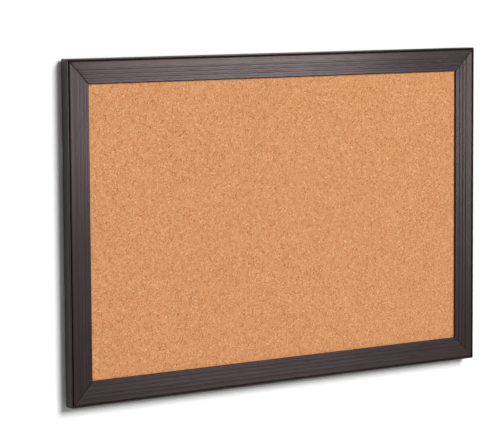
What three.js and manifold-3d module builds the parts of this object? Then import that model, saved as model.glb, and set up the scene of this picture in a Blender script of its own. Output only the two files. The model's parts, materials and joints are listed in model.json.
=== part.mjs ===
// A wall-hung cork notice board: a cork-faced panel held in a frame of reeded timber moulding that is
// mitred at the corners and hung from two D rings. Millimetres, +Z up. The front faces -Y, +X is to the
// viewer's right, and the back of the frame lies in the plane y = 0. The origin is at the middle of the
// top rail's back face, the face that is held against the wall.
import * as THREE from "three";
import { mergeVertices } from "three/addons/utils/BufferGeometryUtils.js";
import Module from "manifold-3d";

const wasm = await Module();
wasm.setup();

// The board's overall size
const boardWidth = 914;
const boardHeight = 610;
const frameDepth = 21;

// Clearances: between pieces that bear on each other, at the mitres, and around metal driven into timber
const seatGap = 0.2;
const mitreGap = 0.3;
const drivenGap = 0.3;
const overrun = 2;
const samePlace = 0.001;

// The moulding's face, from its outer edge inwards
const outerBeadWidth = 2.7;
const outerBeadRound = 0.8;
const outerBeadSetback = 0.5;
const quirkWidth = 2;
const quirkDepth = 3.4;
const bandWidth = 12.3;
const bandArrisWidth = 2;
const bandArrisHeight = 1.1;
const bandHollow = 0.08;
const hollowPlaceShare = 0.55;
const reedCount = 3;
const reedShoulderWidth = 0.3;
const reedCrownWidth = 1.8;
const reedRollWidth = 1.1;
const reedRise = 0.2;
const reedDrop = 0.75;
const veeWidth = 0.45;
const veeDepth = 0.06;
const flatWidth = 4.2;
const sightCrownWidth = 3.5;
const sightRollWidth = 1.6;
const sightRollHeight = 1.4;
const sightLipThickness = 3.75;
const backArris = 1;
const cornerRadius = 3;

// The rabbet behind the face, and the layers of the panel that it holds
const rabbetWidth = 9;
const panelClearance = 1.2;
const corkThickness = 3;
const coreThickness = 6.5;
const backingThickness = 1.8;

// V-nails across the back of each mitre
const vNailPlaceShares = [0.31, 0.7];
const vNailLeg = 5;
const vNailCurl = 1.2;
const vNailThickness = 0.5;
const vNailDepth = 10;
const vNailSink = 0.4;

// Bent steel tabs that hold the panel in the rabbet
const railTabCount = 4;
const stileTabCount = 2;
const tabWidth = 5.5;
const tabThickness = 0.5;
const tabDrive = 6;
const tabPoint = 3.5;
const tabFlat = 7;
const tabTail = 4;
const tabTailAngle = THREE.MathUtils.degToRad(20);
const tabEndRadius = 1.5;

// D ring hangers: a folded strap and its wire ring
const hangerDrop = 150;
const strapWidth = 14;
const strapThickness = 1;
const strapReach = 37;
const strapFoldGap = 0.3;
const strapEndRadius = 5;
const strapReturnAngle = THREE.MathUtils.degToRad(50);
const strapReturnRadius = 2;
const strapHoleInset = 6;
const strapHoleSpacing = 12;
const wireDiameter = 2.4;
const wireClearance = 0.2;
const ringInnerWidth = 15.4;
const ringLeg = 3.8;
const ringCornerRadius = 2.4;
const ringButtGap = 0.4;
const ringRestAngle = THREE.MathUtils.degToRad(9);
const ringScrewClearance = 1.6;

// Pan head screws through the straps
const screwDiameter = 3.5;
const screwLength = 16;
const screwPoint = 4;
const screwHeadDiameter = 7;
const screwHeadHeight = 2.3;
const screwHeadRim = 0.7;
const screwHoleClearance = 0.25;
const recessLength = 4;
const recessWidth = 0.9;
const recessDepth = 1.3;

// Rubber bumpers at the lower corners
const bumperInset = 45;
const bumperBaseDiameter = 12;
const bumperTopDiameter = 9;
const bumperHeight = 4;
const bumperRound = 0.9;

// How finely curves are drawn
const arcSteps = 5;
const roundSides = 20;
const wireSides = 8;
const ringSteps = 48;

// Sizes and places that follow from those above. Depths are counted forwards from the frame's back plane.
const quarterTurn = Math.PI / 2;
const reedWidth = reedShoulderWidth + reedCrownWidth + reedRollWidth;
const reedPitch = reedWidth + flatWidth;
const sightBeadWidth = reedShoulderWidth + sightCrownWidth + sightRollWidth;
const faceWidth = outerBeadWidth + quirkWidth + bandWidth + reedCount * reedPitch + sightBeadWidth;
const backWidth = faceWidth - rabbetWidth;
const topLevel = frameDepth - reedRise;
const sightCrown = frameDepth - reedCount * reedDrop;
const lipBack = sightCrown - sightLipThickness;
const corkFront = lipBack - seatGap;
const coreFront = corkFront - corkThickness - seatGap;
const backingFront = coreFront - coreThickness - seatGap;
const backingBack = backingFront - backingThickness;
const panelWidth = boardWidth - 2 * (backWidth + panelClearance);
const panelHeight = boardHeight - 2 * (backWidth + panelClearance);
const tabDepth = backingBack - seatGap - tabThickness / 2;
const eyeRadius = wireDiameter / 2 + wireClearance;
const eyeOut = seatGap + strapThickness + eyeRadius;
const strapOut = seatGap + 2 * strapThickness + strapFoldGap;
const hangerX = boardWidth / 2 - backWidth / 2;
const eyeZ = boardHeight / 2 - hangerDrop;
const lowerScrewDrop = strapReach - strapHoleInset;
const screwDrops = [lowerScrewDrop - strapHoleSpacing, lowerScrewDrop];
const ringReach = screwDrops[0] - screwHeadDiameter / 2 - ringScrewClearance;
const ringBowDepth = ringReach - ringLeg - wireDiameter / 2;

const xAxis = new THREE.Vector3(1, 0, 0);
const yAxis = new THREE.Vector3(0, 1, 0);
const zAxis = new THREE.Vector3(0, 0, 1);
const forwards = yAxis.clone().negate();

const timber = { color: 0x453838, roughness: 0.42, metalness: 0 };
const cork = { color: 0xd59b63, roughness: 0.85, metalness: 0 };
const softboard = { color: 0x9a7a55, roughness: 0.95, metalness: 0 };
const hardboard = { color: 0x6e4a2e, roughness: 0.7, metalness: 0 };
const zinc = { color: 0xb4b6b8, roughness: 0.35, metalness: 1 };
const rubber = { color: 0x26262a, roughness: 0.8, metalness: 0 };

// A section drawn across and up, run at right angles to both for a length that is centred on it.
function bar(section, length, across, up) {
  const options = { depth: length, bevelEnabled: false, curveSegments: arcSteps };
  const geometry = new THREE.ExtrudeGeometry(section, options);
  geometry.translate(0, 0, -length / 2);
  geometry.applyMatrix4(new THREE.Matrix4().makeBasis(across, up, across.clone().cross(up)));
  return geometry;
}

// An outline in x and z, run forwards from one depth in front of the back plane to another.
function slab(outline, fromDepth, toDepth) {
  const geometry = bar(outline, toDepth - fromDepth, xAxis, zAxis);
  return geometry.translate(0, -(fromDepth + toDepth) / 2, 0);
}

// A closed geometry as a solid for joining and cutting, placed by a matrix.
function solidOf(geometry, place = new THREE.Matrix4()) {
  const plain = geometry.clone().applyMatrix4(place);
  plain.deleteAttribute("normal");
  plain.deleteAttribute("uv");
  const merged = mergeVertices(plain);
  const corners = merged.index.array;
  const kept = [];
  for (let first = 0; first < corners.length; first += 3) {
    const [a, b, c] = corners.slice(first, first + 3);
    if (a !== b && b !== c && c !== a) kept.push(a, b, c);
  }
  const vertProperties = merged.attributes.position.array;
  return new wasm.Manifold(new wasm.Mesh({ numProp: 3, vertProperties, triVerts: Uint32Array.from(kept) }));
}

function geometryOf(solid) {
  const mesh = solid.getMesh();
  const geometry = new THREE.BufferGeometry();
  geometry.setAttribute("position", new THREE.BufferAttribute(mesh.vertProperties, 3));
  geometry.setIndex(new THREE.BufferAttribute(mesh.triVerts, 1));
  geometry.computeVertexNormals();
  return geometry;
}

function piece(name, geometry, look) {
  const mesh = new THREE.Mesh(geometry, new THREE.MeshStandardMaterial(look));
  mesh.name = name;
  return mesh;
}

// A matrix that turns about the Y axis and then moves to a point.
function placed(x, y, z, turn = 0) {
  const place = new THREE.Matrix4().makeRotationY(turn);
  return place.setPosition(x, y, z);
}

// The outline of a bent strip: its centreline moved out on both sides by half its thickness. Where the
// line bends, the corner is moved out along the bend's middle, further the sharper it is.
function stripOutline(line, thickness) {
  const apart = (point, index) => index === 0 || point.distanceTo(line[index - 1]) > samePlace;
  const points = line.filter(apart);
  const runs = points.slice(1).map((point, index) => point.clone().sub(points[index]).normalize());
  const oneSide = [];
  const otherSide = [];
  points.forEach((point, index) => {
    const arriving = runs[Math.max(index - 1, 0)];
    const leaving = runs[Math.min(index, runs.length - 1)];
    const middle = arriving.clone().add(leaving).normalize();
    const reach = thickness / 2 / middle.dot(arriving);
    const aside = new THREE.Vector2(-middle.y, middle.x).multiplyScalar(reach);
    oneSide.push(point.clone().add(aside));
    otherSide.unshift(point.clone().sub(aside));
  });
  return new THREE.Shape([...oneSide, ...otherSide]);
}

// A reed that starts at u: a shoulder that rises out of a shallow vee in the given level, a flat crown, and
// a quarter of an ellipse that rolls down.
function addReed(section, u, level, crownWidth, rollWidth, rollHeight) {
  const crown = level + reedRise;
  const shoulderU = u + reedShoulderWidth;
  const rollU = shoulderU + crownWidth;
  const foot = level - veeDepth;
  section.absellipse(shoulderU, foot, reedShoulderWidth, crown - foot, Math.PI, quarterTurn, true, 0);
  section.absellipse(rollU, crown - rollHeight, rollWidth, rollHeight, quarterTurn, 0, true, 0);
}

// The moulding's section. u runs inwards from the outer edge and v forwards from the back.
function mouldingSection() {
  const section = new THREE.Shape();
  const beadSpring = frameDepth - outerBeadSetback - outerBeadRound;
  const quirkFloor = frameDepth - quirkDepth;
  const bandStart = outerBeadWidth + quirkWidth;
  const bandEnd = bandStart + bandWidth;
  section.moveTo(backArris, 0);
  section.lineTo(0, backArris);
  section.lineTo(0, beadSpring);
  section.absarc(outerBeadRound, beadSpring, outerBeadRound, Math.PI, quarterTurn, true);
  section.absarc(outerBeadWidth - outerBeadRound, beadSpring, outerBeadRound, quarterTurn, 0, true);
  const quirkRadius = quirkWidth / 2;
  const quirkSink = beadSpring - quirkFloor;
  const quirkMiddle = outerBeadWidth + quirkRadius;
  section.absellipse(quirkMiddle, beadSpring, quirkRadius, quirkSink, Math.PI, 2 * Math.PI, false, 0);
  const arrisSpring = topLevel - bandArrisHeight;
  const arrisMiddle = bandStart + bandArrisWidth;
  section.lineTo(bandStart, arrisSpring);
  section.absellipse(arrisMiddle, arrisSpring, bandArrisWidth, bandArrisHeight, Math.PI, quarterTurn, true, 0);
  const hollowX = bandStart + hollowPlaceShare * bandWidth;
  section.quadraticCurveTo(hollowX, topLevel - 2 * bandHollow, bandEnd - veeWidth, topLevel);
  let u = bandEnd;
  for (let step = 1; step <= reedCount; step += 1) {
    const level = topLevel - step * reedDrop;
    addReed(section, u, level + reedDrop, reedCrownWidth, reedRollWidth, reedDrop + reedRise);
    u += reedPitch;
    section.lineTo(u - veeWidth, level);
  }
  addReed(section, u, sightCrown - reedRise, sightCrownWidth, sightRollWidth, sightRollHeight);
  section.lineTo(faceWidth, lipBack);
  section.lineTo(backWidth, lipBack);
  section.lineTo(backWidth, 0);
  section.closePath();
  return section;
}

// The front outline of one mitred length, drawn along x and inwards along z from the middle of its outer
// edge. The mitres stand back by half the gap, and the outer corners are eased by a small radius.
function mitreOutline(length) {
  const outline = new THREE.Shape();
  const setback = mitreGap / Math.SQRT2;
  const easeEnd = quarterTurn / 2 - Math.acos(-setback / (cornerRadius * Math.SQRT2));
  const centre = length / 2 - cornerRadius;
  const inner = faceWidth + overrun;
  outline.moveTo(-centre, 0);
  outline.lineTo(centre, 0);
  outline.absarc(centre, cornerRadius, cornerRadius, -quarterTurn, easeEnd, false);
  outline.lineTo(length / 2 - setback - inner, inner);
  outline.lineTo(setback + inner - length / 2, inner);
  outline.absarc(-centre, cornerRadius, cornerRadius, Math.PI - easeEnd, Math.PI + quarterTurn, false);
  return outline;
}

// A V-nail's outline at a corner whose two edges run along x and z: a right angle whose point lies on the
// mitre, with the end of each leg curled in. grown widens it all round, for the slot it is driven into.
function vNailOutline(place, grown) {
  const tip = vNailLeg + grown;
  const curl = vNailCurl * Math.SQRT1_2;
  const line = [
    new THREE.Vector2(place + tip + curl, place + curl),
    new THREE.Vector2(place + tip, place),
    new THREE.Vector2(place, place),
    new THREE.Vector2(place, place + tip),
    new THREE.Vector2(place + curl, place + tip + curl),
  ];
  return stripOutline(line, vNailThickness + 2 * grown);
}

// A framing tab in its member's frame: flat steel driven into the rabbet's wall, lying over the backing
// board, with its tail bent up for the fingers.
function tabGeometry() {
  const tail = new THREE.Vector2(Math.cos(tabTailAngle), -Math.sin(tabTailAngle)).multiplyScalar(tabTail);
  const bend = new THREE.Vector2(backWidth + tabFlat, tabDepth);
  const line = [new THREE.Vector2(backWidth - tabDrive, tabDepth), bend, bend.clone().add(tail)];
  const strip = bar(stripOutline(line, tabThickness), tabWidth, zAxis, forwards);
  const plan = new THREE.Shape();
  const end = line[2].x;
  const half = tabWidth / 2;
  plan.moveTo(0, line[0].x);
  plan.lineTo(half, line[0].x + tabPoint);
  plan.lineTo(half, end - tabEndRadius);
  plan.absarc(half - tabEndRadius, end - tabEndRadius, tabEndRadius, 0, quarterTurn, false);
  plan.absarc(tabEndRadius - half, end - tabEndRadius, tabEndRadius, quarterTurn, Math.PI, false);
  plan.lineTo(-half, line[0].x + tabPoint);
  plan.closePath();
  return geometryOf(solidOf(strip).intersect(solidOf(slab(plan, -overrun, frameDepth))));
}

// The slot in the rabbet's wall that takes a tab.
function tabSlot() {
  const deep = tabDrive + drivenGap + overrun;
  const slot = new THREE.BoxGeometry(tabWidth + 2 * drivenGap, tabThickness + 2 * drivenGap, deep);
  return slot.translate(0, -tabDepth, backWidth - tabDrive - drivenGap + deep / 2);
}

// A pan head screw that points into the frame, with its head's underside at y = 0 and a cross recess.
function screwGeometry() {
  const shank = screwDiameter / 2;
  const head = screwHeadDiameter / 2;
  const profile = new THREE.Path();
  profile.moveTo(0, -screwLength);
  profile.lineTo(shank, screwPoint - screwLength);
  profile.lineTo(shank, 0);
  profile.lineTo(head, 0);
  profile.lineTo(head, screwHeadRim);
  profile.absellipse(0, screwHeadRim, head, screwHeadHeight - screwHeadRim, 0, quarterTurn, false, 0);
  const points = profile.getPoints(arcSteps);
  points[points.length - 1].x = 0;
  let screw = solidOf(new THREE.LatheGeometry(points, roundSides));
  const floor = screwHeadHeight - recessDepth;
  const deep = recessDepth + overrun;
  for (const [wide, long] of [[recessLength, recessWidth], [recessWidth, recessLength]]) {
    const slot = new THREE.BoxGeometry(wide, deep, long).translate(0, floor + deep / 2, 0);
    screw = screw.subtract(solidOf(slot));
  }
  return geometryOf(screw);
}

function pilotHole() {
  const deep = screwLength - strapOut - seatGap + drivenGap;
  const radius = screwDiameter / 2 + drivenGap;
  const hole = new THREE.CylinderGeometry(radius, radius, deep + overrun, roundSides);
  return hole.translate(0, (overrun - deep) / 2, 0);
}

// A hanger strap about its eye: one strip of steel that comes up against the frame, folds over the
// ring's wire and comes back down on itself, with a rounded end and two screw holes.
function strapGeometry() {
  const eyeLine = eyeRadius + strapThickness / 2;
  const outerLine = strapThickness + strapFoldGap - eyeLine;
  const sine = Math.sin(strapReturnAngle);
  const cosine = Math.cos(strapReturnAngle);
  const leaveY = eyeLine * cosine;
  const arriveY = outerLine + strapReturnRadius * (1 - cosine);
  const arriveZ = -eyeLine * sine - ((leaveY - arriveY) / sine) * cosine;
  const settleZ = arriveZ - strapReturnRadius * sine;
  const line = new THREE.Path();
  line.moveTo(-eyeLine, -strapReach);
  line.lineTo(-eyeLine, 0);
  line.absarc(0, 0, eyeLine, Math.PI, -strapReturnAngle, true);
  line.lineTo(arriveY, arriveZ);
  const returnY = outerLine + strapReturnRadius;
  line.absarc(returnY, settleZ, strapReturnRadius, Math.PI - strapReturnAngle, Math.PI, false);
  line.lineTo(outerLine, -strapReach);
  const strip = bar(stripOutline(line.getPoints(arcSteps), strapThickness), strapWidth, yAxis, zAxis);
  const plan = new THREE.Shape();
  const half = strapWidth / 2 + overrun;
  const rounded = strapWidth / 2 - strapEndRadius;
  const centreZ = strapEndRadius - strapReach;
  plan.moveTo(half, centreZ + overrun);
  plan.lineTo(half, eyeLine + overrun);
  plan.lineTo(-half, eyeLine + overrun);
  plan.lineTo(-half, centreZ + overrun);
  plan.lineTo(-strapWidth / 2, centreZ);
  plan.absarc(-rounded, centreZ, strapEndRadius, Math.PI, Math.PI + quarterTurn, false);
  plan.absarc(rounded, centreZ, strapEndRadius, -quarterTurn, 0, false);
  plan.closePath();
  const reach = eyeLine + strapThickness + overrun;
  let strap = solidOf(strip).intersect(solidOf(slab(plan, -reach, reach)));
  const radius = screwDiameter / 2 + screwHoleClearance;
  const drill = new THREE.CylinderGeometry(radius, radius, 2 * reach, roundSides);
  for (const drop of screwDrops) strap = strap.subtract(solidOf(drill, placed(0, 0, -drop)));
  return geometryOf(strap);
}

// A D ring about its hinge, hanging straight down: wire bent from the middle of its bar round two corners
// and a round bow that ends above the upper screw, with its ends close together inside the strap's eye.
function ringGeometry() {
  const half = ringInnerWidth / 2 + wireDiameter / 2;
  const shoulder = half - ringCornerRadius;
  const path = new THREE.Path();
  path.moveTo(ringButtGap / 2, 0);
  path.lineTo(shoulder, 0);
  path.absarc(shoulder, -ringCornerRadius, ringCornerRadius, quarterTurn, 0, true);
  path.lineTo(half, -ringLeg);
  path.absellipse(0, -ringLeg, half, ringBowDepth, 0, -Math.PI, true);
  path.lineTo(-half, -ringCornerRadius);
  path.absarc(-shoulder, -ringCornerRadius, ringCornerRadius, Math.PI, quarterTurn, true);
  path.lineTo(-ringButtGap / 2, 0);
  const line = new THREE.Curve();
  line.getPoint = (share) => {
    const point = path.getPoint(share);
    return new THREE.Vector3(point.x, 0, point.y);
  };
  const section = [];
  for (let side = 0; side < wireSides; side += 1) {
    const angle = (2 * Math.PI * side) / wireSides;
    section.push(new THREE.Vector2(Math.cos(angle), Math.sin(angle)).multiplyScalar(wireDiameter / 2));
  }
  const options = { steps: ringSteps, extrudePath: line, bevelEnabled: false };
  return new THREE.ExtrudeGeometry(new THREE.Shape(section), options);
}

function bumperGeometry() {
  const base = bumperBaseDiameter / 2;
  const top = bumperTopDiameter / 2;
  const profile = new THREE.Path();
  profile.moveTo(0, 0);
  profile.lineTo(base, 0);
  const roundFrom = bumperHeight - bumperRound;
  profile.lineTo(top, roundFrom);
  profile.absarc(top - bumperRound, roundFrom, bumperRound, 0, quarterTurn, false);
  profile.lineTo(0, bumperHeight);
  return new THREE.LatheGeometry(profile.getPoints(arcSteps), roundSides);
}

const board = new THREE.Group();
board.position.z = backWidth / 2 - boardHeight / 2;

// Each corner's frame has its x and z along the two members' outer edges.
const halfWidth = boardWidth / 2;
const halfHeight = boardHeight / 2;
const corners = [
  { name: "bottom_left", place: placed(-halfWidth, 0, -halfHeight) },
  { name: "bottom_right", place: placed(halfWidth, 0, -halfHeight, -quarterTurn) },
  { name: "top_right", place: placed(halfWidth, 0, halfHeight, 2 * quarterTurn) },
  { name: "top_left", place: placed(-halfWidth, 0, halfHeight, quarterTurn) },
];

// Each member's frame has its origin at the middle of the outer edge, x along it and z inwards.
const rail = { length: boardWidth, tabs: railTabCount };
const stile = { length: boardHeight, tabs: stileTabCount };
const members = [
  { ...rail, name: "bottom_rail", side: "bottom", place: placed(0, 0, -halfHeight) },
  { ...stile, name: "left_stile", side: "left", place: placed(-halfWidth, 0, 0, quarterTurn) },
  { ...rail, name: "top_rail", side: "top", place: placed(0, 0, halfHeight, 2 * quarterTurn) },
  { ...stile, name: "right_stile", side: "right", place: placed(halfWidth, 0, 0, -quarterTurn) },
];

const hangers = [
  { name: "left", x: -hangerX },
  { name: "right", x: hangerX },
];

// What is cut out of the timber, in the board's frame: V-nail slots at the mitres and pilot holes.
const cuts = [];
for (const corner of corners) {
  for (const share of vNailPlaceShares) {
    const outline = vNailOutline(share * backWidth, drivenGap);
    cuts.push(solidOf(slab(outline, -overrun, vNailSink + vNailDepth + drivenGap), corner.place));
  }
}
for (const hanger of hangers) {
  for (const drop of screwDrops) cuts.push(solidOf(pilotHole(), placed(hanger.x, 0, eyeZ - drop)));
}

// The four mitred lengths of moulding, each with its tabs.
for (const member of members) {
  const group = new THREE.Group();
  group.applyMatrix4(member.place);
  board.add(group);
  const blank = bar(mouldingSection(), member.length + 2 * overrun, zAxis, forwards);
  const trimmed = slab(mitreOutline(member.length), -overrun, frameDepth + overrun);
  let solid = solidOf(blank).intersect(solidOf(trimmed));
  const toMember = member.place.clone().invert();
  for (const cut of cuts) solid = solid.subtract(cut.transform(toMember.elements));
  const opening = member.length - 2 * backWidth;
  for (let index = 0; index < member.tabs; index += 1) {
    const x = opening * ((index + 0.5) / member.tabs - 0.5);
    solid = solid.subtract(solidOf(tabSlot(), placed(x, 0, 0)));
    const tab = piece(`tab_${member.side}_${index + 1}`, tabGeometry(), zinc);
    tab.position.x = x;
    group.add(tab);
  }
  group.add(piece(member.name, geometryOf(solid), timber));
}

// V-nails, driven a little below the back of the frame.
for (const corner of corners) {
  const group = new THREE.Group();
  group.applyMatrix4(corner.place);
  board.add(group);
  vNailPlaceShares.forEach((share, index) => {
    const outline = vNailOutline(share * backWidth, 0);
    const nail = slab(outline, vNailSink, vNailSink + vNailDepth);
    group.add(piece(`v_nail_${corner.name}_${index + 1}`, nail, zinc));
  });
}

// The panel: cork bonded to a soft fibreboard core, with a thin hardboard back.
const layers = [
  { name: "cork_sheet", front: corkFront, thickness: corkThickness, look: cork },
  { name: "fibreboard_core", front: coreFront, thickness: coreThickness, look: softboard },
  { name: "backing_board", front: backingFront, thickness: backingThickness, look: hardboard },
];
for (const layer of layers) {
  const geometry = new THREE.BoxGeometry(panelWidth, layer.thickness, panelHeight);
  const sheet = piece(layer.name, geometry, layer.look);
  sheet.position.y = layer.thickness / 2 - layer.front;
  board.add(sheet);
}

// The hangers: each strap is screwed to the back of its stile and its ring hangs from the eye.
for (const hanger of hangers) {
  const group = new THREE.Group();
  group.position.set(hanger.x, eyeOut, eyeZ);
  board.add(group);
  group.add(piece(`hanger_strap_${hanger.name}`, strapGeometry(), zinc));
  const ring = piece(`ring_${hanger.name}`, ringGeometry(), zinc);
  ring.rotation.x = ringRestAngle;
  group.add(ring);
  screwDrops.forEach((drop, index) => {
    const screw = piece(`screw_${hanger.name}_${index + 1}`, screwGeometry(), zinc);
    screw.position.set(0, strapOut + seatGap - eyeOut, -drop);
    group.add(screw);
  });
}

// The bumpers stand below the straps, on the back of the bottom rail.
for (const hanger of hangers) {
  const bumper = piece(`bumper_${hanger.name}`, bumperGeometry(), rubber);
  const x = Math.sign(hanger.x) * (halfWidth - bumperInset);
  bumper.position.set(x, seatGap, backWidth / 2 - halfHeight);
  board.add(bumper);
}

const part = new THREE.Group();
part.add(board);
part.updateMatrixWorld(true);

export default part;
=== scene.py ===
import json

import bpy
import numpy as np
from mathutils import Matrix, Vector


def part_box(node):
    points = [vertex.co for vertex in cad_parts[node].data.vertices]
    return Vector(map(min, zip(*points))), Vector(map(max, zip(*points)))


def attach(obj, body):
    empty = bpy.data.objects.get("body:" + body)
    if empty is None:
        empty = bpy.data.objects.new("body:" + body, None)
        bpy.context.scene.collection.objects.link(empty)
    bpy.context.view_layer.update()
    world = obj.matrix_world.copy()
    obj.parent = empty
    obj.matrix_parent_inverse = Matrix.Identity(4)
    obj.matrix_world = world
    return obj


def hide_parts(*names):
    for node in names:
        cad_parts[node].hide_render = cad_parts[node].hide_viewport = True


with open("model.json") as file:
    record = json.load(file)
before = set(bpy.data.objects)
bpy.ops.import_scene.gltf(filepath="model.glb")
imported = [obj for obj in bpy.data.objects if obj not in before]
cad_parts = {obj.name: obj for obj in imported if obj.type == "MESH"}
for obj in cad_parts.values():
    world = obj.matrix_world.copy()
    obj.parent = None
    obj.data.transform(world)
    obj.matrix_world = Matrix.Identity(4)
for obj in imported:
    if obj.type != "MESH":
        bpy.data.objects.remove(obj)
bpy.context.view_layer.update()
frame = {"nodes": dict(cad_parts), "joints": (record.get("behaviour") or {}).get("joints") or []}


# The frame: four lengths of one timber moulding, machined with beads and reeds, stained espresso, sealed
# with a satin lacquer, mitred at the corners and joined from behind.
MOULDING = {
    "top_rail": {"along": (1, 0, 0), "inwards": (0, 0, -1)},
    "bottom_rail": {"along": (1, 0, 0), "inwards": (0, 0, 1)},
    "left_stile": {"along": (0, 0, 1), "inwards": (1, 0, 0)},
    "right_stile": {"along": (0, 0, 1), "inwards": (-1, 0, 0)},
}
SHARP_ARRIS = np.radians(28)
STAIN = (0.015, 0.0085, 0.0092, 1)
STAIN_STREAK = (0.026, 0.0165, 0.0175, 1)
STAIN_IN_PORES = (0.008, 0.005, 0.005, 1)
# A paler stain along the crests of the beads and reeds: partly rubbed wear, partly painted highlight lines.
HIGHLIGHT_AND_RUBBED_STAIN = (0.05, 0.036, 0.036, 1)
MITRE_DARK = (0.004, 0.0025, 0.0025, 1)
LACQUER_TINT = (1.0, 0.83, 0.85, 1)
LACQUER_ROUGHNESS = 0.185
LACQUER_LEVEL = 0.2
LACQUER_DRAWN_OUT = 0.7
QUARTER_TURN = 0.25
# Where the painted highlight lines and the rubbed wear run, inwards from the outer edge, in metres.
HIGHLIGHT_AND_RUBBED_LINES = (0.0014, 0.0058, 0.0189, 0.0263, 0.0337, 0.0431)
HIGHLIGHT_AND_RUBBED_WIDTH = 0.0011
RUBBED_POLISH = 0.08
MITRE_LINE = 0.0002
MITRE_FADE = 0.0011
MITRE_DULL = 0.4
GRAIN_DEPTH = 0.00006
GRAIN_STRENGTH = 0.6
PORE_SHARE = 0.6
LACQUER_UNEVEN = 0.07
WELD_DECIMALS = 7


def add(tree, kind, settings=None, inputs=None):
    """One shader node, with its settings, and its inputs set to values or joined to other nodes' sockets."""
    node = tree.nodes.new(kind)
    for name, value in (settings or {}).items():
        setattr(node, name, value)
    for name, value in (inputs or {}).items():
        if isinstance(value, bpy.types.NodeSocket):
            tree.links.new(value, node.inputs[name])
        else:
            node.inputs[name].default_value = value
    return node


def arithmetic(tree, operation, *values):
    """One step of arithmetic on single values."""
    return add(tree, "ShaderNodeMath", {"operation": operation}, dict(enumerate(values))).outputs[0]


def object_place(tree):
    """The place on the piece, in metres."""
    return add(tree, "ShaderNodeTexCoord").outputs["Object"]


def apart(tree, vector):
    """A vector's three numbers, each by itself."""
    return add(tree, "ShaderNodeSeparateXYZ", {}, {0: vector}).outputs


def stretched(tree, vector, sizes):
    """A place multiplied by a number along each axis, which draws a pattern out along the smallest."""
    return add(tree, "ShaderNodeVectorMath", {"operation": "MULTIPLY"}, {0: vector, 1: sizes}).outputs[0]


def noise(tree, vector, scale, detail, roughness=0.5, distortion=0.0):
    """Soft random noise, summed from octaves that each halve in size: one value, and one colour."""
    inputs = {"Vector": vector, "Scale": scale, "Detail": detail}
    inputs.update({"Roughness": roughness, "Distortion": distortion})
    return add(tree, "ShaderNodeTexNoise", {}, inputs).outputs


def mixed(tree, share, first, second, way="MIX"):
    """Two colours mixed by a share."""
    settings = {"data_type": "RGBA", "blend_type": way}
    return add(tree, "ShaderNodeMix", settings, {0: share, 6: first, 7: second}).outputs[2]


def spread(tree, value, low, high, to_low=0.0, to_high=1.0):
    """A value taken from one range to another along a smooth curve, and held at its ends."""
    settings = {"interpolation_type": "SMOOTHSTEP"}
    inputs = {"Value": value, "From Min": low, "From Max": high, "To Min": to_low, "To Max": to_high}
    return add(tree, "ShaderNodeMapRange", settings, inputs).outputs[0]


def effect(name, inputs, outputs):
    """An empty node group with the given inputs and outputs, each a name and a kind of socket."""
    tree = bpy.data.node_groups.new(name, "ShaderNodeTree")
    for way, sockets in (("INPUT", inputs), ("OUTPUT", outputs)):
        for label, kind in sockets.items():
            tree.interface.new_socket(name=label, in_out=way, socket_type=kind)
    return tree, tree.nodes.new("NodeGroupInput").outputs, tree.nodes.new("NodeGroupOutput").inputs


def apply_effect(tree, group, inputs):
    """A node group placed in a material with its own values."""
    return add(tree, "ShaderNodeGroup", {"node_tree": group}, inputs).outputs


def finish_of(name):
    """A new material with its tree and its shader."""
    material = bpy.data.materials.new(name)
    material.use_nodes = True
    return material, material.node_tree, material.node_tree.nodes["Principled BSDF"]


def relief(tree, height, depth, strength=1.0):
    """A normal bent by a height that is as deep as given, in metres."""
    inputs = {"Height": height, "Distance": depth, "Strength": strength}
    return add(tree, "ShaderNodeBump", {}, inputs).outputs[0]


# Uneven handling: soft, wide patches and fine scuffs that make a finish a little duller here and there. It is
# the sum of the two, less its mean, times an amount.
SCUFF_SHARE = 0.5

handling, given, result = effect(
    "handling",
    {"Vector": "NodeSocketVector", "Roughness": "NodeSocketFloat", "Amount": "NodeSocketFloat"},
    {"Roughness": "NodeSocketFloat"},
)
patches = noise(handling, given["Vector"], scale=14.0, detail=4.0)["Fac"]
scuffs = noise(handling, given["Vector"], scale=420.0, detail=3.0)["Fac"]
both = arithmetic(handling, "ADD", patches, arithmetic(handling, "MULTIPLY", scuffs, SCUFF_SHARE))
centred = arithmetic(handling, "SUBTRACT", both, (1 + SCUFF_SHARE) / 2)
duller = arithmetic(handling, "MULTIPLY", centred, given["Amount"])
handling.links.new(arithmetic(handling, "ADD", given["Roughness"], duller), result["Roughness"])

# Timber grain under a stain: streaks that run along the piece, and short open pores that hold more of it.
STREAK_STRETCH = (2.2, 170.0, 170.0)
CLOUD_STRETCH = (5.0, 22.0, 22.0)
PORE_STRETCH = (45.0, 1500.0, 1500.0)
STREAK_HEIGHT = 0.35

grain, given, result = effect(
    "stained_grain",
    {
        "Vector": "NodeSocketVector",
        "Ground": "NodeSocketColor",
        "Streak": "NodeSocketColor",
        "Pores": "NodeSocketFloat",
    },
    {"Color": "NodeSocketColor", "Height": "NodeSocketFloat"},
)
streak_place = stretched(grain, given["Vector"], STREAK_STRETCH)
streaks = noise(grain, streak_place, scale=1.0, detail=7.0, roughness=0.62)["Fac"]
cloud_place = stretched(grain, given["Vector"], CLOUD_STRETCH)
clouds = noise(grain, cloud_place, scale=1.0, detail=3.0)["Fac"]
pore_place = stretched(grain, given["Vector"], PORE_STRETCH)
pores = noise(grain, pore_place, scale=1.0, detail=2.0)["Fac"]
streak_share = spread(grain, streaks, 0.36, 0.68)
cloud_share = spread(grain, clouds, 0.3, 0.7, 0.55, 1.0)
toned_share = arithmetic(grain, "MULTIPLY", streak_share, cloud_share)
toned = mixed(grain, toned_share, given["Ground"], given["Streak"])
pore_mask = arithmetic(grain, "MULTIPLY", spread(grain, pores, 0.6, 0.72), given["Pores"])
grain.links.new(mixed(grain, pore_mask, toned, STAIN_IN_PORES), result["Color"])
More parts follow.
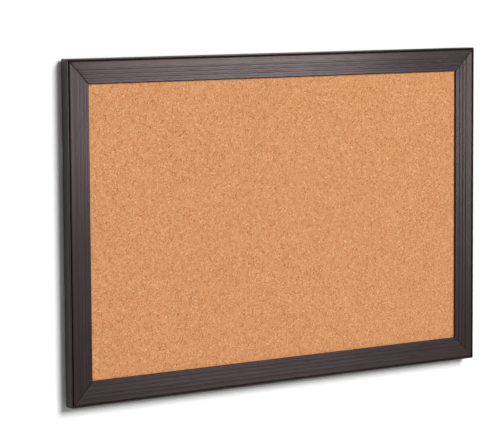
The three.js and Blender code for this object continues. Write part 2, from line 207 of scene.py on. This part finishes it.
streak_height = arithmetic(grain, "MULTIPLY", streak_share, STREAK_HEIGHT)
grain.links.new(arithmetic(grain, "SUBTRACT", streak_height, pore_mask), result["Height"])

# The moulding's finish reads the UV map, in metres: along the length, and inwards from the outer edge. Along
# the crests of the beads and reeds the stain is painted paler, partly as rubbed wear and partly as painted
# highlight lines, and the lacquer there is glossier.
espresso, tree, shader = finish_of("espresso_lacquer")
uv = apart(tree, add(tree, "ShaderNodeUVMap", {"uv_map": "moulding"}).outputs[0])
along, across = uv[0], uv[1]
depth = apart(tree, object_place(tree))[1]
place = add(tree, "ShaderNodeCombineXYZ", {}, {0: along, 1: across, 2: depth}).outputs[0]
stained = apply_effect(tree, grain, {
    "Vector": place,
    "Ground": STAIN,
    "Streak": STAIN_STREAK,
    "Pores": PORE_SHARE,
})
# Painted highlight: the crest lines get a paler stain that stands in for light caught there, as well as
# rubbed wear.
highlight_and_rubbed = 0.0
for line in HIGHLIGHT_AND_RUBBED_LINES:
    away = arithmetic(tree, "ABSOLUTE", arithmetic(tree, "SUBTRACT", across, line))
    highlight_and_rubbed = arithmetic(tree, "ADD", highlight_and_rubbed, spread(tree, away, 0.0, HIGHLIGHT_AND_RUBBED_WIDTH, 1.0, 0.0))
uneven = noise(tree, place, scale=38.0, detail=5.0)["Fac"]
highlight_and_rub_share = arithmetic(tree, "MULTIPLY", highlight_and_rubbed, spread(tree, uneven, 0.4, 0.75, 0.05, 0.5))
half_length = add(tree, "ShaderNodeAttribute", {"attribute_name": "half_length"}).outputs["Fac"]
from_end = arithmetic(tree, "SUBTRACT", half_length, arithmetic(tree, "ABSOLUTE", along))
from_mitre = arithmetic(tree, "ABSOLUTE", arithmetic(tree, "SUBTRACT", from_end, across))
mitre = spread(tree, from_mitre, MITRE_LINE, MITRE_FADE, 1.0, 0.0)
toned = mixed(tree, highlight_and_rub_share, stained["Color"], HIGHLIGHT_AND_RUBBED_STAIN)
tree.links.new(mixed(tree, mitre, toned, MITRE_DARK), shader.inputs["Base Color"])
lacquer = apply_effect(tree, handling, {
    "Vector": place,
    "Roughness": LACQUER_ROUGHNESS,
    "Amount": LACQUER_UNEVEN,
})
duller = arithmetic(tree, "ADD", lacquer["Roughness"], arithmetic(tree, "MULTIPLY", mitre, MITRE_DULL))
polished = arithmetic(tree, "SUBTRACT", duller, arithmetic(tree, "MULTIPLY", highlight_and_rub_share, RUBBED_POLISH))
tree.links.new(polished, shader.inputs["Roughness"])
tree.links.new(relief(tree, stained["Height"], GRAIN_DEPTH, GRAIN_STRENGTH), shader.inputs["Normal"])
grain_direction = add(tree, "ShaderNodeTangent", {"direction_type": "UV_MAP", "uv_map": "moulding"})
tree.links.new(grain_direction.outputs[0], shader.inputs["Tangent"])
shader.inputs["Anisotropic"].default_value = LACQUER_DRAWN_OUT
shader.inputs["Anisotropic Rotation"].default_value = QUARTER_TURN
shader.inputs["Specular IOR Level"].default_value = LACQUER_LEVEL
shader.inputs["Specular Tint"].default_value = LACQUER_TINT


def smoothed_copy(name, node, sharp):
    """A CAD node's shape with its loose triangles joined. Each corner is shaded by the sum of the normals
    times areas of those triangles round it that turn from its own by less than an angle, so that wide flats
    stay flat."""
    source = frame["nodes"][node].data
    places = np.empty(len(source.vertices) * 3)
    source.vertices.foreach_get("co", places)
    used = np.empty(len(source.loops), int)
    source.loops.foreach_get("vertex_index", used)
    rounded = np.round(places.reshape(-1, 3), WELD_DECIMALS)
    points, same = np.unique(rounded, axis=0, return_inverse=True)
    faces = same.reshape(-1)[used].reshape(-1, 3)
    faces = faces[(faces != np.roll(faces, 1, axis=1)).all(axis=1)]
    mesh = bpy.data.meshes.new(name)
    mesh.from_pydata(points.tolist(), [], faces.tolist())
    mesh.polygons.foreach_set("use_smooth", np.ones(len(mesh.polygons), bool))
    first, second, third = points[faces].transpose(1, 0, 2)
    sized = np.cross(second - first, third - first)
    facing = sized / np.linalg.norm(sized, axis=1, keepdims=True)
    # Every corner is paired with each corner at the same point, itself among them.
    corners = faces.ravel()
    by_point = np.argsort(corners, kind="stable")
    meeting = np.bincount(corners)
    starts = np.cumsum(meeting) - meeting
    pairs = meeting[corners]
    own = np.repeat(np.arange(len(corners)), pairs)
    nth = np.arange(len(own)) - np.repeat(np.cumsum(pairs) - pairs, pairs)
    other = by_point[starts[corners[own]] + nth]
    like = (facing[own // 3] * facing[other // 3]).sum(axis=1) > np.cos(sharp)
    shading = np.zeros((len(corners), 3))
    np.add.at(shading, own[like], sized[other[like] // 3])
    mesh.normals_split_custom_set(shading.tolist())
    return mesh


def put_in_scene(name, data):
    """A new object at the origin that holds a mesh, a lamp or a camera."""
    thing = bpy.data.objects.new(name, data)
    bpy.context.scene.collection.objects.link(thing)
    return thing


def place_piece(name, mesh, material, slot, body, *nodes):
    """A finished mesh with its material, put in the scene to ride on a body, with the CAD nodes whose place
    it takes hidden.
    """
    mesh.materials.append(material)
    piece = put_in_scene(name, mesh)
    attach(piece, body)
    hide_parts(*nodes)
    return piece


top_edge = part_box("top_rail")[1].z
bottom_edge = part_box("bottom_rail")[0].z
left_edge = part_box("left_stile")[0].x
right_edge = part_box("right_stile")[1].x
outer_edges = {
    "top_rail": top_edge,
    "bottom_rail": bottom_edge,
    "left_stile": left_edge,
    "right_stile": right_edge,
}
for node, run in MOULDING.items():
    mesh = smoothed_copy(f"{node}_moulding", node, SHARP_ARRIS)
    corners = np.empty(len(mesh.loops), int)
    mesh.loops.foreach_get("vertex_index", corners)
    places = np.empty(len(mesh.vertices) * 3)
    mesh.vertices.foreach_get("co", places)
    places = places.reshape(-1, 3)[corners]
    inwards = np.array(run["inwards"])
    outer = outer_edges[node] * inwards.sum()
    lengthwise = places @ np.array(run["along"])
    middle = (lengthwise.max() + lengthwise.min()) / 2
    flat = np.stack([lengthwise - middle, places @ inwards - outer], axis=1)
    mesh.uv_layers.new(name="moulding").data.foreach_set("uv", flat.ravel())
    half = np.full(len(mesh.vertices), np.ptp(flat[:, 0]) / 2)
    mesh.attributes.new("half_length", "FLOAT", "POINT").data.foreach_set("value", half)
    place_piece(f"{node}_moulding", mesh, espresso, "frame_timber", "board", node)


# The cork sheet: ground cork pressed with a binder into a 3 mm sheet, sanded flat, and glued to the core.
# Its granules are tan, with paler ones, flecks of dark bark and small pits between them.
CORK_TAN = (0.652, 0.296, 0.129, 1)
CORK_PALE = (0.75, 0.44, 0.235, 1)
CORK_BROWN = (0.43, 0.14, 0.035, 1)
CORK_BARK = (0.25, 0.055, 0.008, 1)
CORK_GLINT = (0.93, 0.62, 0.36, 1)
CORK_CLOUD = (0.93, 0.93, 0.9, 1)
GRANULES_PER_METRE = 470.0
FLECKS_PER_METRE = 300.0
GRANULE_WARP = (0.0016, 0.0016, 0.0016)
PALE_SHARE = 0.85
BROWN_SHARE = 0.75
BARK_SHARE = 0.85
GLINT_SHARE = 0.22
PIT_SHARE = 0.5
CLOUD_SHARE = 0.35
BARK_ABOVE = 0.78
GLINT_BELOW = 0.14
GRANULE_HEIGHT = 0.5
CORK_DEPTH = 0.00022


def cells(tree, vector, scale, feature="F1"):
    """Random cells: each cell's own colour, and the distance from its centre or from its edge."""
    inputs = {"Vector": vector, "Scale": scale}
    return add(tree, "ShaderNodeTexVoronoi", {"feature": feature}, inputs).outputs


def tones(tree, colour):
    """A colour's three numbers, each by itself."""
    return add(tree, "ShaderNodeSeparateColor", {}, {0: colour}).outputs


cork, tree, shader = finish_of("pressed_cork")
place = object_place(tree)
warp = noise(tree, place, scale=260.0, detail=2.0)["Color"]
warped = add(tree, "ShaderNodeVectorMath", {"operation": "MULTIPLY_ADD"},
             {0: warp, 1: GRANULE_WARP, 2: place}).outputs[0]
granules = cells(tree, warped, GRANULES_PER_METRE)
seams = cells(tree, warped, GRANULES_PER_METRE, "DISTANCE_TO_EDGE")
tone = tones(tree, granules["Color"])
pale = spread(tree, tone[0], 0.7, 1.0, 0.0, PALE_SHARE)
brown = spread(tree, tone[1], 0.72, 1.0, 0.0, BROWN_SHARE)
ground = mixed(tree, pale, CORK_TAN, CORK_PALE)
ground = mixed(tree, brown, ground, CORK_BROWN)
flecks = cells(tree, warped, FLECKS_PER_METRE)
fleck_tone = tones(tree, flecks["Color"])[0]
fleck_size = spread(tree, flecks["Distance"], 0.16, 0.34, 1.0, 0.0)
bark = arithmetic(tree, "MULTIPLY", fleck_size, arithmetic(tree, "GREATER_THAN", fleck_tone, BARK_ABOVE))
ground = mixed(tree, arithmetic(tree, "MULTIPLY", bark, BARK_SHARE), ground, CORK_BARK)
glint = arithmetic(tree, "MULTIPLY", fleck_size, arithmetic(tree, "LESS_THAN", fleck_tone, GLINT_BELOW))
ground = mixed(tree, arithmetic(tree, "MULTIPLY", glint, GLINT_SHARE), ground, CORK_GLINT)
seam = spread(tree, seams["Distance"], 0.0, 0.09, 1.0, 0.0)
open_seams = noise(tree, place, scale=120.0, detail=3.0)["Fac"]
pit = arithmetic(tree, "MULTIPLY", seam, spread(tree, open_seams, 0.42, 0.66, 0.05, 1.0))
ground = mixed(tree, arithmetic(tree, "MULTIPLY", pit, PIT_SHARE), ground, CORK_BROWN)
broad = noise(tree, place, scale=9.0, detail=5.0, roughness=0.6)["Fac"]
cloud = spread(tree, broad, 0.3, 0.7, 0.0, CLOUD_SHARE)
tree.links.new(mixed(tree, cloud, ground, CORK_CLOUD, "MULTIPLY"), shader.inputs["Base Color"])
granule_height = arithmetic(tree, "MULTIPLY", tone[2], GRANULE_HEIGHT)
granule_height = arithmetic(tree, "SUBTRACT", granule_height, pit)
tree.links.new(relief(tree, granule_height, CORK_DEPTH), shader.inputs["Normal"])
shader.inputs["Roughness"].default_value = 0.9
shader.inputs["Specular IOR Level"].default_value = 0.15
frame["nodes"]["cork_sheet"].material_slots[0].material = cork

# The core: a softboard of pressed wood fibre that the pins go into. The cork is glued to its face, and it is
# hidden between the cork and the back.
FIBRE_DARK = (0.25, 0.16, 0.085, 1)
FIBRE_PALE = (0.42, 0.3, 0.18, 1)
FIBRE_DEPTH = 0.0003

softboard, tree, shader = finish_of("softboard")
fibres = noise(tree, object_place(tree), scale=700.0, detail=6.0, distortion=0.8)["Fac"]
tree.links.new(mixed(tree, fibres, FIBRE_DARK, FIBRE_PALE), shader.inputs["Base Color"])
tree.links.new(relief(tree, fibres, FIBRE_DEPTH), shader.inputs["Normal"])
shader.inputs["Roughness"].default_value = 0.95
frame["nodes"]["fibreboard_core"].material_slots[0].material = softboard

# The back: a thin sheet of hardboard laid in the rabbet behind the core. It is hot pressed on a wire screen,
# whose weave stays printed on the side that shows.
SCREEN_PITCH = 0.0017
SCREEN_DEPTH = 0.00012
PULP_DARK = (0.17, 0.085, 0.04, 1)
PULP_PALE = (0.23, 0.122, 0.06, 1)
SHIVE_PALE = (0.33, 0.2, 0.1, 1)
SCREEN_DARK = (0.1, 0.05, 0.022, 1)
SHIVE_SHARE = 0.55
SCREEN_SHARE = 0.3

hardboard, tree, shader = finish_of("screen_back_hardboard")
place = object_place(tree)
sideways, _, upwards = apart(tree, place)
turns = 2 * np.pi / SCREEN_PITCH
weave = arithmetic(tree, "MULTIPLY",
                   arithmetic(tree, "SINE", arithmetic(tree, "MULTIPLY", sideways, turns)),
                   arithmetic(tree, "SINE", arithmetic(tree, "MULTIPLY", upwards, turns)))
pulp = noise(tree, place, scale=16.0, detail=8.0, roughness=0.65)["Fac"]
shives = noise(tree, place, scale=520.0, detail=4.0, distortion=1.2)["Fac"]
ground = mixed(tree, spread(tree, pulp, 0.3, 0.7), PULP_DARK, PULP_PALE)
ground = mixed(tree, spread(tree, shives, 0.58, 0.72, 0.0, SHIVE_SHARE), ground, SHIVE_PALE)
ground = mixed(tree, spread(tree, weave, -1.0, 0.2, SCREEN_SHARE, 0.0), ground, SCREEN_DARK)
tree.links.new(ground, shader.inputs["Base Color"])
tree.links.new(relief(tree, weave, SCREEN_DEPTH), shader.inputs["Normal"])
shader.inputs["Roughness"].default_value = 0.72
frame["nodes"]["backing_board"].material_slots[0].material = hardboard


# The V-nails and tabs: small pieces of thin steel. The nails are driven into the back of each mitre, and the
# bent tabs into the rabbet's wall, where they hold the panel. Both are zinc plated, with a faint bloom.
ZINC_BLOOM = (0.5, 0.51, 0.54, 1)
BLOOM_SHARE = 0.3
ROLLING_DEPTH = 0.00002
PLATING_UNEVEN = 0.25


def plated(name, colour, roughness, lines):
    """Plated steel with a faint bloom, whose rolling lines run along the axis with the smallest number."""
    material, tree, shader = finish_of(name)
    place = object_place(tree)
    rolled = noise(tree, stretched(tree, place, lines), scale=1.0, detail=3.0)["Fac"]
    bloom = noise(tree, place, scale=190.0, detail=4.0)["Fac"]
    toned = mixed(tree, spread(tree, bloom, 0.35, 0.7, 0.0, BLOOM_SHARE), colour, ZINC_BLOOM)
    tree.links.new(toned, shader.inputs["Base Color"])
    uneven = {"Vector": place, "Roughness": roughness, "Amount": PLATING_UNEVEN}
    gloss = apply_effect(tree, handling, uneven)["Roughness"]
    tree.links.new(gloss, shader.inputs["Roughness"])
    tree.links.new(relief(tree, rolled, ROLLING_DEPTH), shader.inputs["Normal"])
    shader.inputs["Metallic"].default_value = 1.0
    return material


nail_steel = plated("nail_steel", (0.55, 0.56, 0.58, 1), 0.36, lines=(900.0, 30.0, 900.0))
tab_steel = plated("tab_steel", (0.6, 0.61, 0.63, 1), 0.33, lines=(900.0, 900.0, 60.0))
for node, thing in frame["nodes"].items():
    if node.startswith("v_nail_"):
        thing.material_slots[0].material = nail_steel
    if node.startswith("tab_"):
        thing.material_slots[0].material = tab_steel

# The hangers: each strap is one strip of zinc plated steel, folded over the ring's bar and screwed through
# both layers into the stile with two pan head screws.
SHARP_FOLD = np.radians(32)

strap_steel = plated("strap_steel", (0.66, 0.67, 0.69, 1), 0.3, lines=(900.0, 900.0, 40.0))
screw_steel = plated("screw_steel", (0.7, 0.7, 0.68, 1), 0.26, lines=(700.0, 700.0, 700.0))
for side in ("left", "right"):
    mesh = smoothed_copy(f"strap_{side}", f"hanger_strap_{side}", SHARP_FOLD)
    place_piece(f"strap_{side}", mesh, strap_steel, "plated_steel", "board", f"hanger_strap_{side}")
    for number in (1, 2):
        name = f"pan_screw_{side}_{number}"
        node = f"screw_{side}_{number}"
        mesh = smoothed_copy(name, node, SHARP_FOLD)
        place_piece(name, mesh, screw_steel, "plated_steel", "board", node)


# The D rings: nickel-bright wire bent round into a D, with its two ends meeting inside the strap's fold. They
# hang from the fold and swing on it.
WIRE_RADIUS = 0.00118
RING_HALF_WIDTH = 0.0089
RING_LEG = 0.0038
RING_CORNER = 0.0024
RING_BUTT = 0.0004
RING_REST_ANGLE = np.radians(9)
CORNER_STEPS = 13
BOW_STEPS = 65
WIRE_SIDES = 24


def closed_skin(name, points, turned_over=False):
    """A grid of points whose rows close on themselves. Two neighbours in a row and the two beside them in
    the next row make a face, and the first and last rows make one each. Turned over, all of them face the
    other way."""
    rows, sides = points.shape[:2]
    row, column = np.meshgrid(np.arange(rows - 1), np.arange(sides), indexing="ij")
    after = (column + 1) % sides
    quads = np.stack([
        row * sides + column,
        row * sides + after,
        (row + 1) * sides + after,
        (row + 1) * sides + column,
    ], axis=-1).reshape(-1, 4)
    ends = [list(range(sides))[::-1], list(range((rows - 1) * sides, rows * sides))]
    if turned_over:
        quads = quads[:, [0, 3, 2, 1]]
        ends = [end[::-1] for end in ends]
    mesh = bpy.data.meshes.new(name)
    mesh.from_pydata(points.reshape(-1, 3).tolist(), [], quads.tolist() + ends)
    mesh.polygons.foreach_set("use_smooth", np.ones(len(mesh.polygons), bool))
    mesh.set_sharp_from_angle(angle=SHARP_FOLD)
    return mesh


def d_ring(name, hinge):
    """A round wire carried along a D: half the bar, a corner arc, a leg, a half circle, and back again the
    same way. Each point is the line's place plus the wire's radius times a mix of the line's own normal and
    the depth axis, and the whole is turned about the hinge by the angle at which the ring hangs."""
    shoulder = RING_HALF_WIDTH - RING_CORNER
    quarter = np.linspace(0, np.pi / 2, CORNER_STEPS)
    bow = np.linspace(0, np.pi, BOW_STEPS)
    bar = np.array([[RING_BUTT / 2, 0.0], [shoulder / 2, 0.0]])
    corner = np.stack([
        shoulder + RING_CORNER * np.sin(quarter),
        RING_CORNER * (np.cos(quarter) - 1),
    ], axis=1)
    round_bow = np.stack([
        RING_HALF_WIDTH * np.cos(bow),
        -RING_LEG - RING_HALF_WIDTH * np.sin(bow),
    ], axis=1)
    half = np.concatenate([bar, corner])
    line = np.concatenate([half, round_bow, half[::-1] * (-1, 1)])
    heading = np.gradient(line, axis=0)
    heading[0] = line[1] - line[0]
    heading[-1] = line[-1] - line[-2]
    heading /= np.linalg.norm(heading, axis=1, keepdims=True)
    normal = np.stack([-heading[:, 1], heading[:, 0]], axis=1)
    turn = np.linspace(0, 2 * np.pi, WIRE_SIDES, endpoint=False)
    aside = normal[:, None, :] * np.cos(turn)[None, :, None] * WIRE_RADIUS + line[:, None, :]
    deep = np.broadcast_to(np.sin(turn) * WIRE_RADIUS, aside.shape[:2])
    cosine, sine = np.cos(RING_REST_ANGLE), np.sin(RING_REST_ANGLE)
    points = np.stack([
        aside[..., 0],
        deep * cosine - aside[..., 1] * sine,
        deep * sine + aside[..., 1] * cosine,
    ], axis=-1) + np.array(hinge)
    return closed_skin(name, points)


ring_wire = plated("ring_wire", (0.74, 0.74, 0.74, 1), 0.2, lines=(500.0, 500.0, 500.0))
for joint in frame["joints"]:
    side = joint["child"].removeprefix("ring_")
    mesh = d_ring(f"wire_ring_{side}", joint["pos_m"])
    place_piece(f"wire_ring_{side}", mesh, ring_wire, "plated_steel", joint["child"], joint["child"])


# The bumpers: moulded rubber buttons stuck to the back of the bottom rail, which keep the board parallel to
# the wall and from marking it.
BUMPER_BASE = 0.006
BUMPER_TOP = 0.0045
BUMPER_ROUND = 0.0009
BUMPER_DISH = 0.0002
BUMPER_MIDDLE = 0.0003
SHOULDER_STEPS = 9
TOP_STEPS = 10
BUMPER_SIDES = 48
RUBBER_BLACK = (0.021, 0.021, 0.023, 1)
RUBBER_DUST = (0.075, 0.072, 0.07, 1)
DUST_SHARE = 0.35
SKIN_DEPTH = 0.00004
RUBBER_ROUGHNESS = 0.68
RUBBER_UNEVEN = 0.2

rubber, tree, shader = finish_of("bumper_rubber")
place = object_place(tree)
skin = noise(tree, place, scale=1600.0, detail=3.0)["Fac"]
dusted = noise(tree, place, scale=240.0, detail=4.0)["Fac"]
toned = mixed(tree, spread(tree, dusted, 0.45, 0.75, 0.0, DUST_SHARE), RUBBER_BLACK, RUBBER_DUST)
tree.links.new(toned, shader.inputs["Base Color"])
uneven = {"Vector": place, "Roughness": RUBBER_ROUGHNESS, "Amount": RUBBER_UNEVEN}
matt = apply_effect(tree, handling, uneven)["Roughness"]
tree.links.new(matt, shader.inputs["Roughness"])
tree.links.new(relief(tree, skin, SKIN_DEPTH), shader.inputs["Normal"])


def button(name, low, high):
    """A profile turned round the depth axis: straight up a tapered side, round the shoulder, and across a top
    that is dished by a shallow parabola."""
    centre = (np.array(low) + np.array(high)) / 2
    height = high[1] - low[1]
    flat_top = BUMPER_TOP - BUMPER_ROUND
    swing = np.linspace(0, np.pi / 2, SHOULDER_STEPS)
    shoulder = np.stack([
        flat_top + BUMPER_ROUND * np.cos(swing),
        height - BUMPER_ROUND + BUMPER_ROUND * np.sin(swing),
    ], axis=1)
    inner = np.linspace(flat_top, BUMPER_MIDDLE, TOP_STEPS)[1:]
    dish = 1 - (inner / flat_top) ** 2
    top = np.stack([inner, height - BUMPER_DISH * dish], axis=1)
    profile = np.concatenate([[[BUMPER_MIDDLE, 0.0], [BUMPER_BASE, 0.0]], shoulder, top])
    turn = np.linspace(0, 2 * np.pi, BUMPER_SIDES, endpoint=False)
    points = np.stack([
        centre[0] + profile[:, None, 0] * np.cos(turn),
        low[1] + np.broadcast_to(profile[:, None, 1], (len(profile), len(turn))),
        centre[2] + profile[:, None, 0] * np.sin(turn),
    ], axis=-1)
    return closed_skin(name, points, turned_over=True)


for side in ("left", "right"):
    mesh = button(f"rubber_button_{side}", *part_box(f"bumper_{side}"))
    place_piece(f"rubber_button_{side}", mesh, rubber, "bumper_rubber", "board", f"bumper_{side}")


# The stage: a white wall just behind the board, and a pale floor below it. The wall shows only from the
# front, and is cut out behind the board, so that light reaches the board's back. The floor sends up less
# light than it shows, so that the wall stays dark close under the board.
WALL_PLACE = 0.0066
WALL_TOP = 1.3
STAGE_REACH = 6
FLOOR_LEVEL = -1.5
OPENING_INSET = 0.005
WHITE = (1.0, 1.0, 1.0, 1)
PALE_FLOOR = (0.93, 0.93, 0.93, 1)
FLOOR_AS_LIT = (0.4, 0.4, 0.4, 1)


def seen_directly(tree):
    """One for a ray from the camera, a mirror or clear glass, and nothing for a ray from matt paint."""
    rays = add(tree, "ShaderNodeLightPath").outputs
    straight = arithmetic(tree, "MAXIMUM", rays["Is Camera Ray"], rays["Is Transmission Ray"])
    return arithmetic(tree, "MAXIMUM", straight, rays["Is Glossy Ray"])


def either(tree, share, first, second):
    """Two shaders mixed by a share."""
    inputs = {0: share, 1: first.outputs[0], 2: second.outputs[0]}
    return add(tree, "ShaderNodeMixShader", {}, inputs).outputs[0]


def bare_paint(name):
    """A new material with an empty tree."""
    material = bpy.data.materials.new(name)
    material.use_nodes = True
    material.node_tree.nodes.clear()
    return material, material.node_tree


def sheet(name, corners, faces, material):
    """A flat sheet from its corners and faces, facing the side from which these run anticlockwise."""
    mesh = bpy.data.meshes.new(name)
    mesh.from_pydata(corners, [], faces)
    mesh.materials.append(material)
    thing = put_in_scene(name, mesh)
    return thing


wall_paint, tree = bare_paint("wall_paint")
paint = add(tree, "ShaderNodeBsdfDiffuse", {}, {"Color": WHITE})
clear = add(tree, "ShaderNodeBsdfTransparent")
behind = add(tree, "ShaderNodeNewGeometry").outputs["Backfacing"]
add(tree, "ShaderNodeOutputMaterial", {}, {"Surface": either(tree, behind, paint, clear)})
cut_left = left_edge + OPENING_INSET
cut_right = right_edge - OPENING_INSET
cut_bottom = bottom_edge + OPENING_INSET
cut_top = top_edge - OPENING_INSET
wall = sheet("wall", [
    (-STAGE_REACH, WALL_PLACE, FLOOR_LEVEL),
    (STAGE_REACH, WALL_PLACE, FLOOR_LEVEL),
    (STAGE_REACH, WALL_PLACE, WALL_TOP),
    (-STAGE_REACH, WALL_PLACE, WALL_TOP),
    (cut_left, WALL_PLACE, cut_bottom),
    (cut_right, WALL_PLACE, cut_bottom),
    (cut_right, WALL_PLACE, cut_top),
    (cut_left, WALL_PLACE, cut_top),
], [(0, 1, 5, 4), (1, 2, 6, 5), (2, 3, 7, 6), (3, 0, 4, 7)], wall_paint)
wall.visible_shadow = False

floor_paint, tree = bare_paint("floor_paint")
shown = add(tree, "ShaderNodeBsdfDiffuse", {}, {"Color": PALE_FLOOR})
bounced = add(tree, "ShaderNodeBsdfDiffuse", {}, {"Color": FLOOR_AS_LIT})
surface = either(tree, seen_directly(tree), bounced, shown)
add(tree, "ShaderNodeOutputMaterial", {}, {"Surface": surface})
sheet("floor", [
    (-STAGE_REACH, -STAGE_REACH, FLOOR_LEVEL),
    (STAGE_REACH, -STAGE_REACH, FLOOR_LEVEL),
    (STAGE_REACH, STAGE_REACH, FLOOR_LEVEL),
    (-STAGE_REACH, STAGE_REACH, FLOOR_LEVEL),
], [(0, 1, 2, 3)], floor_paint)

# The light: one wide soft box in front of the board, up and to its right, and a dim white room. Four
# smaller cards to the right stand where the lacquer mirrors them towards the camera, and show only in gloss.
# A weak lamp behind the wall lights the back when it is looked at from there.
ROOM_STRENGTH = 0.11
BACKDROP_STRENGTH = 1.0
KEY = {"place": (3.27, -10.8, 5.77), "target": (-2.5, 0, 5.77), "size": (5.6, 6.48), "watts": 2010}
BACK_FILL = {"place": (-0.8, 2.6, 0.9), "size": (1.6, 1.6), "watts": 40}
GLOSS_CARDS = {
    "card": {"place": (5.85, -8.0, 0.19), "size": (1.1, 2.43), "watts": 135},
    "left_card": {"place": (4.8, -8.0, 0.13), "size": (1.0, 2.55), "watts": 88},
    "apron": {"place": (5.3, -8.0, -1.66), "size": (1.9, 1.27), "watts": 18},
    "side_card": {"place": (8.6, -8.0, -0.9), "size": (1.0, 1.8), "watts": 72},
}

world = bpy.data.worlds.new("room")
bpy.context.scene.world = world
world.use_nodes = True
tree = world.node_tree
tree.nodes.clear()
room = add(tree, "ShaderNodeBackground", {}, {"Color": WHITE, "Strength": ROOM_STRENGTH})
backdrop = add(tree, "ShaderNodeBackground", {}, {"Color": WHITE, "Strength": BACKDROP_STRENGTH})
surface = either(tree, seen_directly(tree), room, backdrop)
add(tree, "ShaderNodeOutputWorld", {}, {"Surface": surface})


def soft_box(name, place, target, size, watts):
    """A rectangular lamp that faces a target, with its width and height."""
    lamp = bpy.data.lights.new(name, "AREA")
    lamp.shape = "RECTANGLE"
    lamp.size, lamp.size_y = size
    lamp.energy = watts
    thing = put_in_scene(name, lamp)
    thing.location = place
    thing.rotation_euler = (Vector(target) - Vector(place)).to_track_quat("-Z", "Y").to_euler()
    thing.visible_camera = False
    return thing


board_centre = Vector((0, 0, (top_edge + bottom_edge) / 2))
key = soft_box("key", **KEY)
key.visible_glossy = False
for name, card in GLOSS_CARDS.items():
    aside, _, height = card["place"]
    lamp = soft_box(name, target=(aside, 0, height), **card)
    lamp.visible_diffuse = False
soft_box("back_fill", target=board_centre, **BACK_FILL)

# The camera: it stands to the left of the board and a little above it, with a long lens, and is rolled by
# about a third of a degree.
LENS = 166.2
SENSOR_WIDTH = 36
FAR_CLIP = 60
DISTANCE = 4.274
YAW = np.radians(34.8)
PITCH = np.radians(5.9)
ROLL = np.radians(-0.36)
SIDESTEP = -0.0504
LIFT = 0.0003

forward = Vector((np.sin(YAW) * np.cos(PITCH), np.cos(YAW) * np.cos(PITCH), -np.sin(PITCH)))
level_right = Vector((np.cos(YAW), -np.sin(YAW), 0))
level_up = level_right.cross(forward)
right = level_right * np.cos(ROLL) + level_up * np.sin(ROLL)
up = level_up * np.cos(ROLL) - level_right * np.sin(ROLL)
view = bpy.data.cameras.new("view")
view.lens = LENS
view.sensor_width = SENSOR_WIDTH
view.sensor_fit = "HORIZONTAL"
view.clip_end = FAR_CLIP
camera = put_in_scene("view", view)
turned = Matrix((right, up, -forward)).transposed().to_4x4()
standpoint = board_centre - forward * DISTANCE + right * SIDESTEP + up * LIFT
camera.matrix_world = Matrix.Translation(standpoint) @ turned
bpy.context.scene.camera = camera
bpy.context.scene.view_settings.view_transform = "Standard"
